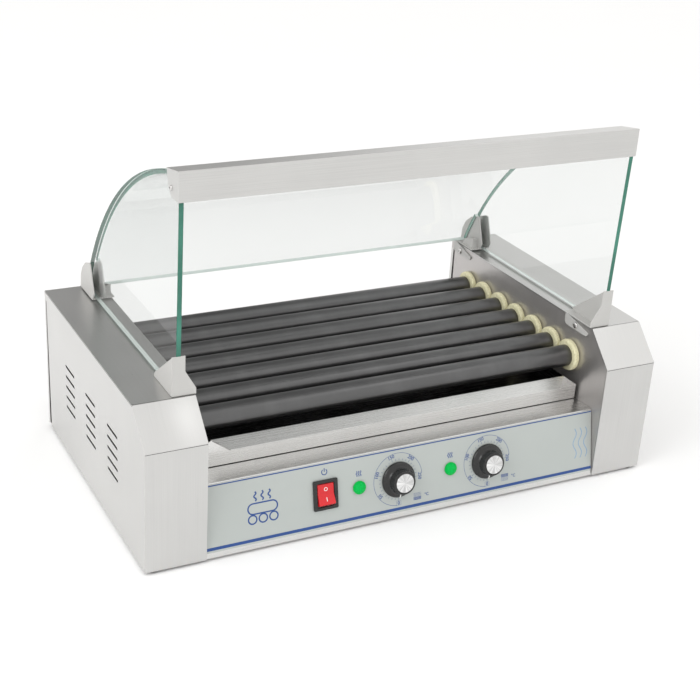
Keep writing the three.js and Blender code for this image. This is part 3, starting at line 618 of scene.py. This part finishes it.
# ---- sheet metal that stays as the CAD made it ----------------------------------------------
dress("housing_steel", *both("housing_cover"), edge=0.45 * MM)
dress("housing_steel", "rear_panel")
dress("wall_steel", *both("inner_wall"), "base_pan", edge=0)
dress("panel_steel", "control_deck", edge=0.3 * MM)
dress("tray_steel", "drip_tray", edge=0.45 * MM)
dress("rail_steel", "top_rail", edge=0.5 * MM)
dress("clip_steel", *both("front_clip"), *both("rear_clip"), edge=0.3 * MM)
dress("drive_steel", "drive_chain", "motor_sprocket", "front_thermostat", "back_thermostat", edge=0)
dress("drive_steel", *[f"sprocket_{i + 1}" for i in range(ROLLER_COUNT)], edge=0)
dress("motor_paint", "gear_motor", edge=0)
for place in ("front", "rear"):
    dress("foot_rubber", *both(f"{place}_foot"), edge=0.4 * MM)


# ---- seams on the housings, with painted shade in their gaps ---------------------------------
def add_seams(end, side):
    """Painted shade in the gaps where the housing's folded plates meet: each line a thin dark bar set
    into the sheet.
    """
    bm = bmesh.new()
    bevel_low = HOUSING_TOP - BEVEL - 1.2 * MM
    bevel_back = FRONT + BEVEL
    inner, outer = side * (WALL_X + 0.6 * MM), side * (HALF_WIDTH - 0.6 * MM)

    def bar(low, high):
        centre = (Vector(low) + Vector(high)) / 2
        size = [abs(b - a) for a, b in zip(low, high)]
        scale = Matrix.Diagonal((*size, 1))
        bmesh.ops.create_cube(bm, size=1, matrix=Matrix.Translation(centre) @ scale)

    half = SEAM / 2
    bar((inner, FRONT - PROUD, bevel_low), (outer, FRONT + half, bevel_low + SEAM))
    bar((inner, bevel_back + 1 * MM, HOUSING_TOP - half),
        (outer, bevel_back + 1 * MM + SEAM, HOUSING_TOP + PROUD))
    top = HOUSING_TOP - 1.1 * MM
    wall = side * (HALF_WIDTH + PROUD)
    bar((wall - side * half, bevel_back, top), (wall, COVER_HIGH.y, top + SEAM))
    piece(f"{end}_seams", bm, "root", "painted_gap_shade")


for end, side in ENDS.items():
    add_seams(end, side)


# ---- rollers and bushes ----------------------------------------------------------------------
def add_roller(number):
    node = f"roller_{number}"
    low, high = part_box(node)
    place = Matrix.Translation((0, (low.y + high.y) / 2, (low.z + high.z) / 2)) @ TURN_TO_X
    radius = (high.z - low.z) / 2
    bush_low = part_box(f"left_bush_{number}")[1].x
    bush_face = min(abs(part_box(f"right_bush_{number}")[0].x), abs(bush_low)) - GAP
    profile = soften([
        (0, low.x), (JOURNAL_RADIUS, low.x), (JOURNAL_RADIUS, -bush_face), (radius, -bush_face),
        (radius, bush_face), (JOURNAL_RADIUS, bush_face), (JOURNAL_RADIUS, high.x), (0, high.x),
    ], 0.9 * MM, 3, closed=False)
    bm = bmesh.new()
    add_lathe(bm, profile, 72)
    made = piece(f"roller_tube_{number}", bm, f"roller_{number}_body", "roller_coating", place)
    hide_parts(node)


def add_bush(end, side, number):
    """A fibre ring with a rounded outer rim, and a spigot through the wall."""
    node = f"{end}_bush_{number}"
    low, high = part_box(node)
    radius = (high.z - low.z) / 2
    face = low.x if side > 0 else -high.x
    back = WALL_X - GAP
    tail = high.x if side > 0 else -low.x
    bore = JOURNAL_RADIUS + GAP
    outline = [(bore, face), (radius, face), (radius, back), (SPIGOT_RADIUS, back)]
    ring = soften(outline, 2.4 * MM, 6, closed=False)
    profile = ring + [Vector((SPIGOT_RADIUS, tail)), Vector((bore, tail))]
    place = Matrix.Translation((0, (low.y + high.y) / 2, (low.z + high.z) / 2))
    place = place @ Matrix.Rotation(math.radians(90 * side), 4, "Y")
    bm = bmesh.new()
    add_lathe(bm, profile, 56)
    made = piece(f"{node}_ring", bm, "root", "bush_plastic", place)
    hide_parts(node)


for number in range(1, ROLLER_COUNT + 1):
    add_roller(number)
    for end, side in ENDS.items():
        add_bush(end, side, number)


# ---- glass guard -----------------------------------------------------------------------------
def guard_point(radius, angle):
    return GUARD_CENTRE + Vector((0, radius * math.cos(angle), radius * math.sin(angle)))


def guard_angles(radius, low_z, front_y):
    """The angles at which the guard's curve meets its lower edge and its front edge."""
    low = math.asin((low_z - GUARD_CENTRE.z) / radius)
    return low, math.acos((front_y - GUARD_CENTRE.y) / radius)


def add_side_pane(end, side):
    """A flat pane under the guard's curve, thick towards the machine's middle, with green edges."""
    node = f"{end}_side_glass"
    low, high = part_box(node)
    start, stop = guard_angles(GUARD_RADIUS, low.z, low.y)
    arc = [guard_point(GUARD_RADIUS, start + (stop - start) * k / 96) for k in range(97)]
    front_foot = Vector((0, low.y + 7 * MM, low.z))
    outer = max(abs(low.x), abs(high.x)) * side
    bm = bmesh.new()
    verts = [bm.verts.new((outer, point.y, point.z)) for point in [*arc, front_foot]]
    face = bm.faces.new(verts)
    face.normal_update()
    if face.normal.x * side < 0:
        face.normal_flip()
    grown = bmesh.ops.extrude_face_region(bm, geom=[face])
    moved = [item for item in grown["geom"] if isinstance(item, bmesh.types.BMVert)]
    bmesh.ops.translate(bm, verts=moved, vec=(-side * GLASS, 0, 0))
    for face in bm.faces:
        face.normal_update()
        face.material_index = 0 if abs(face.normal.x) > 0.5 else 1
    made = piece(f"{end}_pane", bm, "root", "guard_glass", looks=("glass_edge",), smooth=40)
    round_edges(made, 0.45 * MM, 2, 50)
    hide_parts(node)


def add_rear_pane():
    """The curved pane, narrower at its foot where the rear brackets stand."""
    node = "rear_glass"
    low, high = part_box(node)
    notch_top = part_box("left_rear_clip")[1].z + 1 * MM
    notch_half = high.x - 4.55 * MM
    start, stop = guard_angles(GUARD_RADIUS, REAR_GLASS_FOOT, low.y)
    notch_angle = math.asin((notch_top - GUARD_CENTRE.z) / GUARD_RADIUS)
    lower = [start + (notch_angle - start) * k / 8 for k in range(9)]
    upper = [notch_angle + (stop - notch_angle) * k / 80 for k in range(1, 81)]
    columns = [-high.x, -notch_half, -notch_half / 2, 0, notch_half / 2, notch_half, high.x]
    bm = bmesh.new()
    grid = []
    for angle in lower + upper:
        point = guard_point(GUARD_RADIUS, angle)
        grid.append([bm.verts.new((x, point.y, point.z)) for x in columns])
    last = len(columns) - 2
    for j in range(len(grid) - 1):
        for i in range(len(columns) - 1):
            if j < len(lower) - 1 and i in (0, last):
                continue
            bm.faces.new([grid[j][i], grid[j][i + 1], grid[j + 1][i + 1], grid[j + 1][i]])
    bmesh.ops.delete(bm, geom=[v for v in bm.verts if not v.link_faces], context="VERTS")
    made = piece("curved_pane", bm, "root", "guard_glass", looks=("glass_edge",), smooth=40)
    thick = made.modifiers.new("thickness", "SOLIDIFY")
    thick.thickness = GLASS
    thick.offset = -1
    thick.use_even_offset = True
    thick.material_offset_rim = 1
    round_edges(made, 0.45 * MM, 2, 50)
    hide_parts(node)


for end, side in ENDS.items():
    add_side_pane(end, side)
add_rear_pane()


# ---- screws ----------------------------------------------------------------------------------
def screw_head(radius):
    """A pan head with a cross recess, standing on its washer face at z = 0."""
    bm = bmesh.new()
    height = radius * 0.62
    dome = circle(1.0, 10, start=0.0, turn=math.pi / 2)
    profile = [(0, -0.2 * MM), (radius, -0.2 * MM)]
    profile += [(radius * (0.35 + 0.65 * p.x), height * (0.3 + 0.7 * p.y)) for p in dome]
    profile.append((0, height))
    add_lathe(bm, profile, 40)
    bmesh.ops.recalc_face_normals(bm, faces=bm.faces)
    mesh = bpy.data.meshes.new("screw_head")
    bm.to_mesh(mesh)
    bm.free()
    cutter = bmesh.new()
    arm, width, depth = radius * 1.1, radius * 0.24, radius * 0.5
    for size in ((arm, width), (width, arm)):
        shape = Matrix.Diagonal((*size, depth, 1))
        bmesh.ops.create_cube(cutter, size=1, matrix=Matrix.Translation((0, 0, height)) @ shape)
    cut_mesh = bpy.data.meshes.new("recess")
    cutter.to_mesh(cut_mesh)
    cutter.free()
    head = bpy.data.objects.new("screw_head", mesh)
    tool = bpy.data.objects.new("recess", cut_mesh)
    for holder in (head, tool):
        bpy.context.scene.collection.objects.link(holder)
    cut = head.modifiers.new("recess", "BOOLEAN")
    cut.object = tool
    cut.solver = "EXACT"
    cut.use_self = True
    bpy.context.view_layer.update()
    graph = bpy.context.evaluated_depsgraph_get()
    made = bpy.data.meshes.new_from_object(head.evaluated_get(graph))
    for holder in (head, tool):
        bpy.data.objects.remove(holder)
    return made


HEADS = {}


def add_screw(name, place, outward, radius=3.6 * MM, turn=20, body="root"):
    if radius not in HEADS:
        HEADS[radius] = screw_head(radius)
    bm = bmesh.new()
    bm.from_mesh(HEADS[radius])
    aim = Vector(outward).to_track_quat("Z", "Y").to_matrix().to_4x4()
    spin = Matrix.Rotation(math.radians(turn), 4, "Z")
    piece(name, bm, body, "screw_steel", Matrix.Translation(place) @ aim @ spin)


for end, side in ENDS.items():
    for place, shift, height in (("front", 0.8, 158.5), ("rear", 5.0, 158.0)):
        low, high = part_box(f"{end}_{place}_clip")
        inner = side * min(abs(low.x), abs(high.x))
        spot = (inner, (low.y + high.y) / 2 + shift * MM, height * MM)
        add_screw(f"{end}_{place}_clip_screw", spot, (-side, 0, 0), turn=25 + 30 * side)
    rail_low, rail_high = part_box("top_rail")
    spot = (side * rail_high.x, rail_low.y + 17 * MM, rail_low.z + 9 * MM)
    add_screw(f"{end}_rail_screw", spot, (side, 0, 0), 2.6 * MM, turn=40)
    for k, height in enumerate((25, 85, 145)):
        spot = (side * (HALF_WIDTH - 9 * MM), BACK, height * MM)
        add_screw(f"{end}_rear_screw_{k + 1}", spot, (0, 1, 0), 3 * MM, turn=15 + 37 * k)
        spot = (side * (WALL_X + 8 * MM), BACK, height * MM)
        add_screw(f"{end}_rear_inner_screw_{k + 1}", spot, (0, 1, 0), 3 * MM, turn=70 - 23 * k)
    for place, y in (("front", FRONT + 60 * MM), ("rear", BACK - 60 * MM)):
        spot = (side * (HALF_WIDTH - 14 * MM), y, HOUSING_LOW)
        add_screw(f"{end}_{place}_base_screw", spot, (0, 0, -1), 2.4 * MM)


# ---- control panel ---------------------------------------------------------------------------
# The panel's own frame: x along it, y up the slope, z out of it, from its skin's lower edge.
INWARD = Vector(JOINTS["front_knob_turn"]["axis"]).normalized()
OUTWARD = -INWARD
UP_SLOPE = OUTWARD.cross(Vector((1, 0, 0)))
PANEL_FOOT = Vector((0, *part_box("control_deck")[0].yz))
PANEL = Matrix((
    (1, UP_SLOPE.x, OUTWARD.x, PANEL_FOOT.x),
    (0, UP_SLOPE.y, OUTWARD.y, PANEL_FOOT.y),
    (0, UP_SLOPE.z, OUTWARD.z, PANEL_FOOT.z),
    (0, 0, 0, 1),
))
FILM_LOW, FILM_HIGH = 0.1 * MM, 0.5 * MM
INK_LOW, INK_HIGH = 0.48 * MM, 0.54 * MM
SEAT = 0.9 * MM  # where knobs and lights sit, out from the skin


def on_panel(x, y, z=0.0):
    return PANEL @ Matrix.Translation((x, y, z))


def panel_spot(point):
    """A row-frame point's x and height up the slope."""
    local = PANEL.inverted() @ Vector(point)
    return local.x, local.y


KNOBS = {zone: panel_spot(JOINTS[f"{zone}_knob_turn"]["pos_m"]) for zone in ("front", "back")}
CONTROL_Y = KNOBS["front"][1]
LIGHTS = {zone: sum(c.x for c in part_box(f"{zone}_heat_light")) / 2 for zone in ("front", "back")}
SWITCH_X = sum(c.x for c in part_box("switch_bezel")) / 2


def add_film():
    width = 2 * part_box("control_deck")[1].x - 1.2 * MM
    low, high = 5.5 * MM, 74.6 * MM
    bm = bmesh.new()
    outline = rectangle(width, high - low, 0.8 * MM)
    add_prism(bm, outline, FILM_LOW, FILM_HIGH, Matrix.Translation((0, (low + high) / 2, 0)))
    piece("panel_film", bm, "root", "label_film", PANEL)
    bm = bmesh.new()
    for y, thickness in ((73.2 * MM, 1.2 * MM), (9.2 * MM, 3.2 * MM)):
        add_prism(bm, rectangle(width, thickness), INK_LOW, INK_HIGH, Matrix.Translation((0, y, 0)))
    piece("panel_lines", bm, "root", "navy_ink", PANEL)


DIAL_RADIUS = 28.1 * MM
DIAL_STEP = 54.4  # degrees between numerals
DIAL_NUMERALS = (0, 50, 100, 150, 200, 250)


def dial_place(degrees, radius):
    """A spot on the dial, degrees clockwise from the bottom, turned to face outwards."""
    angle = math.radians(-90 - degrees)
    spot = Vector((radius * math.cos(angle), radius * math.sin(angle), 0))
    return Matrix.Translation(spot) @ Matrix.Rotation(angle - math.radians(90), 4, "Z")


def add_dial(zone):
    x, y = KNOBS[zone]
    bm = bmesh.new()
    sweep = math.radians(262)
    ring = circle(DIAL_RADIUS, 120, start=math.radians(-94), turn=-sweep)
    add_ribbon(bm, ring, 0.4 * MM, INK_LOW, INK_HIGH)
    for k, number in enumerate(DIAL_NUMERALS):
        place = dial_place(DIAL_STEP * k, 25.4 * MM)
        add_text(bm, str(number), 5.2 * MM, INK_LOW, INK_HIGH, place)
        for minor in range(5 if number < DIAL_NUMERALS[-1] else 1):
            length = 2.8 * MM if minor == 0 else 1.7 * MM
            tick = dial_place(DIAL_STEP * (k + minor / 5), 20.3 * MM + length / 2)
            add_prism(bm, rectangle(0.35 * MM, length), INK_LOW, INK_HIGH, tick)
    box = rectangle(5.0 * MM, 4.8 * MM)
    add_ribbon(bm, box, 0.3 * MM, INK_LOW, INK_HIGH, True, dial_place(0, 25.6 * MM))
    piece(f"{zone}_dial", bm, "root", "navy_ink", on_panel(x, y))


def wave(height, swing, turns=1.5, count=24):
    return [Vector((swing * math.sin(2 * math.pi * turns * k / count), height * (k / count - 0.5)))
            for k in range(count + 1)]


def capsule(length, radius, count=12):
    half = length / 2 - radius
    right = circle(radius, count, (half, 0), -math.pi / 2, math.pi)
    left = circle(radius, count, (-half, 0), math.pi / 2, math.pi)
    return right + left


def sausage_mark(bm, place, scale, width):
    """A plain sausage lying on three rollers, with warm air rising from it."""
    def at(x, y):
        return place @ Matrix.Translation((x * scale, y * scale, 0))

    add_ribbon(bm, capsule(15 * scale, 2.6 * scale), width, INK_LOW, INK_HIGH, True, at(0, 1.6))
    for x in (-5.4, 0, 5.4):
        add_ribbon(bm, circle(2.1 * scale, 28), width, INK_LOW, INK_HIGH, True, at(x, -3.6))
    for x in (-3.6, 0, 3.6):
        line = wave(4.6 * scale, 0.55 * scale)
        add_ribbon(bm, line, width, INK_LOW, INK_HIGH, False, at(x, 7.6))


def zone_mark(bm, place, filled):
    """Seven short bars for the rollers. The heated half is drawn thick."""
    for k in range(7):
        thick = 0.75 * MM if (k < 3) == (filled == "front") and k != 3 else 0.28 * MM
        bar = rectangle(9 * MM, thick)
        add_prism(bm, bar, INK_LOW, INK_HIGH, place @ Matrix.Translation((0, (k - 3) * 1.15 * MM, 0)))


def add_symbols():
    """Plain pictograms in place of words: on and off, heat, front and back, and a sausage."""
    bm = bmesh.new()
    power = Matrix.Translation((SWITCH_X, CONTROL_Y + 23.5 * MM, 0))
    arc = circle(2.9 * MM, 40, start=math.radians(125), turn=math.radians(290))
    add_ribbon(bm, arc, 0.95 * MM, INK_LOW, INK_HIGH, False, power)
    bar_place = power @ Matrix.Translation((0, 2.1 * MM, 0))
    add_prism(bm, rectangle(0.95 * MM, 3.7 * MM), INK_LOW, INK_HIGH, bar_place)
    for x in LIGHTS.values():
        for shift in (-2.2, 0, 2.2):
            spot = Matrix.Translation((x + shift * MM, CONTROL_Y + 14.5 * MM, 0))
            add_ribbon(bm, wave(5.8 * MM, 0.6 * MM), 0.9 * MM, INK_LOW, INK_HIGH, False, spot)
    for zone, (x, y) in KNOBS.items():
        zone_mark(bm, Matrix.Translation((x + 22 * MM, y - 22.5 * MM, 0)), zone)
        add_text(bm, "°C", 4.6 * MM, INK_LOW, INK_HIGH,
                 Matrix.Translation((x + 33 * MM, y - 22.5 * MM, 0)))
    sausage_mark(bm, Matrix.Translation((-166 * MM, 38 * MM, 0)), 2.1 * MM, 1.5 * MM)
    piece("panel_symbols", bm, "root", "navy_ink", PANEL)
    bm = bmesh.new()
    for shift in (-7, 0, 7):
        spot = Matrix.Translation((212 * MM + shift * MM, 40 * MM, 0))
        add_ribbon(bm, wave(34 * MM, 2.2 * MM, 1.5, 48), 0.9 * MM, INK_LOW, INK_HIGH, False, spot)
    piece("panel_ornament", bm, "root", "pale_ink", PANEL)


def add_knob(zone):
    """A skirted black knob with shallow grip ribs, a spun cap and a white pointer."""
    x, y = KNOBS[zone]
    place = on_panel(x, y, SEAT)
    body = f"{zone}_knob_body"
    profile = [(0, 10), (3.3, 10), (3.3, 0)]
    profile += [(19, 0), (19, 1.9), (17.6, 3.3), (14.6, 4.6), (13.3, 6.2), (12.5, 14.2), (10.6, 14.9)]
    profile += [(10.3, 14.4), (0, 14.4)]
    scaled = [(r * MM, h * MM) for r, h in profile]
    bm = bmesh.new()
    add_lathe(bm, soften(scaled, 0.7 * MM, 3, closed=False), 120)
    ribs = 30
    for vert in bm.verts:
        height = vert.co.z
        radius = vert.co.xy.length
        if radius > 12 * MM and 6.4 * MM < height < 13.9 * MM:
            angle = math.atan2(vert.co.y, vert.co.x)
            depth = 0.28 * MM * (0.5 + 0.5 * math.cos(ribs * angle))
            vert.co.xy *= (radius - depth) / radius
    bm.transform(place)
    made = piece(f"{zone}_knob_grip", bm, body, "black_plastic", smooth=50)
    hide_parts(f"{zone}_knob")
    cap = soften([(0, 14.2 * MM), (10 * MM, 14.2 * MM), (10 * MM, 15.1 * MM), (9.3 * MM, 15.3 * MM),
                  (0, 15.1 * MM)], 0.25 * MM, 3, closed=False)
    bm = bmesh.new()
    add_lathe(bm, cap, 96)
    piece(f"{zone}_knob_cap", bm, body, "spun_aluminium", place)
    bm = bmesh.new()
    lean = math.atan2(1.3, 3.0)
    mark = Matrix.Translation((0, -16.1 * MM, 4.0 * MM)) @ Matrix.Rotation(lean, 4, "X")
    add_prism(bm, rectangle(1.1 * MM, 3.4 * MM, 0.3 * MM), -0.2 * MM, 0.25 * MM, mark)
    foot = Matrix.Translation((0, -18.3 * MM, 2.7 * MM)) @ Matrix.Rotation(math.radians(45), 4, "X")
    add_prism(bm, rectangle(1.1 * MM, 1.4 * MM, 0.2 * MM), -0.2 * MM, 0.3 * MM, foot)
    piece(f"{zone}_knob_pointer", bm, body, "white_ink", place)


def add_light(zone):
    dome = circle(1.0, 10, turn=math.pi / 2)
    profile = [(0, 0), (7 * MM, 0), (7 * MM, 1.4 * MM), (6.5 * MM, 1.9 * MM), (6.0 * MM, 1.7 * MM)]
    profile += [(5.9 * MM * p.x, (1.7 + 2.0 * p.y) * MM) for p in dome]
    profile[-1] = (0, 3.7 * MM)
    bm = bmesh.new()
    add_lathe(bm, profile, 56)
    made = piece(f"{zone}_lens", bm, "root", "lens_green", on_panel(LIGHTS[zone], CONTROL_Y, SEAT))
    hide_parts(f"{zone}_heat_light")


def add_bezel():
    """A rounded frame round the rocker's well."""
    outer = rectangle(27 * MM, 31.5 * MM, 1.6 * MM, 6)
    inner = rectangle(18.9 * MM, 24.5 * MM, 0.8 * MM, 6)
    levels = [(outer, 0.0), (outer, 1.5 * MM), ([p * 0.965 for p in outer], 2.1 * MM),
              ([p * 1.05 for p in inner], 2.1 * MM), (inner, 1.6 * MM), (inner, -14 * MM),
              ([p * 1.08 for p in inner], -14 * MM), ([p * 1.08 for p in inner], 0.0)]
    bm = bmesh.new()
    rings = [[bm.verts.new((p.x, p.y, z)) for p in ring] for ring, z in levels]
    for first, second in zip(rings, rings[1:] + rings[:1]):
        for k in range(len(first)):
            after = (k + 1) % len(first)
            bm.faces.new([first[k], first[after], second[after], second[k]])
    made = piece("switch_frame", bm, "root", "black_plastic", on_panel(SWITCH_X, CONTROL_Y, SEAT))
    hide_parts("switch_bezel")


ROCKER_TILT = math.radians(-12)
ROCKER_RADIUS = 11.8 * MM
ROCKER_HOLLOW = 3.4 * MM  # height of the front's middle above the pivot


def add_rocker():
    """The red rocker, its lower half standing out, with its on and off marks."""
    x, y = panel_spot(JOINTS["rocker_tilt"]["pos_m"])
    depth = (PANEL.inverted() @ Vector(JOINTS["rocker_tilt"]["pos_m"])).z
    place = on_panel(x, y, depth) @ Matrix.Rotation(ROCKER_TILT, 4, "X")
    reach = math.asin(5.6 * MM / ROCKER_RADIUS)
    arc = circle(ROCKER_RADIUS, 8, start=math.radians(72.8), turn=math.radians(17.2) + reach)
    # The outline is drawn as (out, up). The middle of its front is hollowed a little.
    top = [Vector((-p.x, p.y)) for p in arc]
    bottom = [Vector((p.x, -p.y)) for p in reversed(top)]
    outline = top + [Vector((ROCKER_HOLLOW, 0))] + bottom
    half = 9 * MM
    bm = bmesh.new()
    turn = Matrix(((0, 0, 1, 0), (0, 1, 0, 0), (1, 0, 0, 0), (0, 0, 0, 1)))
    add_prism(bm, outline, -half, half, turn)
    made = piece("rocker_cap", bm, "rocker_body", "rocker_red", place, smooth=20)
    round_edges(made, 0.5 * MM, 3, 25)
    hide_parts("switch_rocker")
    rise, run = 2.2 * MM, ROCKER_RADIUS * math.cos(reach)
    bm = bmesh.new()
    for sign, shape in ((1, "off"), (-1, "on")):
        up = sign * 5.2 * MM
        spot = Matrix.Translation((0, up, ROCKER_HOLLOW + rise * abs(up) / run))
        spot = spot @ Matrix.Rotation(sign * math.atan2(rise, run), 4, "X")
        if shape == "off":
            add_ribbon(bm, circle(1.7 * MM, 32), 0.6 * MM, -0.1 * MM, 0.14 * MM, True, spot)
        else:
            add_prism(bm, rectangle(0.7 * MM, 4.0 * MM), -0.1 * MM, 0.14 * MM, spot)
    piece("rocker_marks", bm, "rocker_body", "white_ink", place)


def add_gland():
    low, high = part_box("cord_gland")
    centre = (low + high) / 2
    radius = (high.x - low.x) / 2
    place = Matrix.Translation((centre.x, 0, centre.z)) @ Matrix.Rotation(math.radians(-90), 4, "X")
    profile = [(4 * MM, low.y), (radius - 1.5 * MM, low.y), (radius, BACK - 1.3 * MM),
               (6 * MM, BACK - 1.3 * MM), (6 * MM, BACK + 0.3 * MM), (radius, BACK + 0.3 * MM),
               (radius, high.y - 0.8 * MM), (5 * MM, high.y), (4 * MM, high.y)]
    bm = bmesh.new()
    add_lathe(bm, soften(profile, 0.4 * MM, 2), 48)
    made = piece("lead_gland", bm, "root", "black_plastic", place)
    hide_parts("cord_gland")


add_film()
add_symbols()
for zone in ("front", "back"):
    add_dial(zone)
    add_knob(zone)
    add_light(zone)
add_bezel()
add_rocker()
add_gland()
